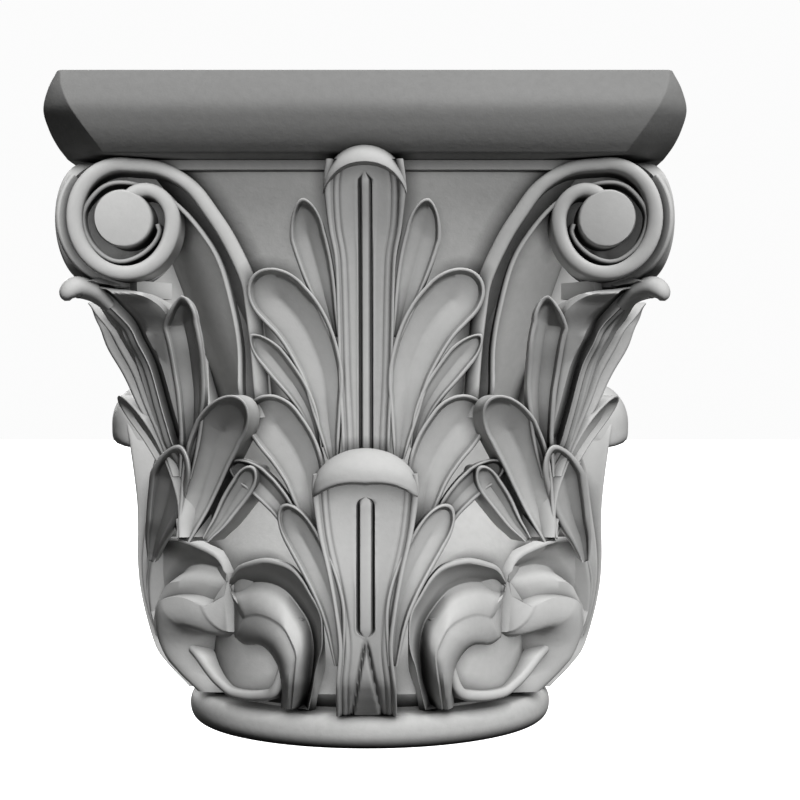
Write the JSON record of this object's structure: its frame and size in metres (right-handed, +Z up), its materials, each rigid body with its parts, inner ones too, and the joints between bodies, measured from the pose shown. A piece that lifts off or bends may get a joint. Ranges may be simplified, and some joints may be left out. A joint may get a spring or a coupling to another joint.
{
  "type": "corinthian column capital",
  "caption": "Square-topped stone column capital with a round base ring, two tiers of acanthus leaves and paired corner scrolls under a moulded slab.",
  "frame": {"origin": "centre of the flat underside of the base ring, where the capital rests on its shaft", "axes": "+Z up the column's axis; -Y out of the front face, +X to its right"},
  "size_m": [0.606, 0.606, 0.655],
  "materials": {
    "stone": "smooth, finely tooled grey stone, matt, a little darker in the hollows of the carving"
  },
  "bodies": {
    "root": {"capital": "stone"}
  },
  "joints": []
}
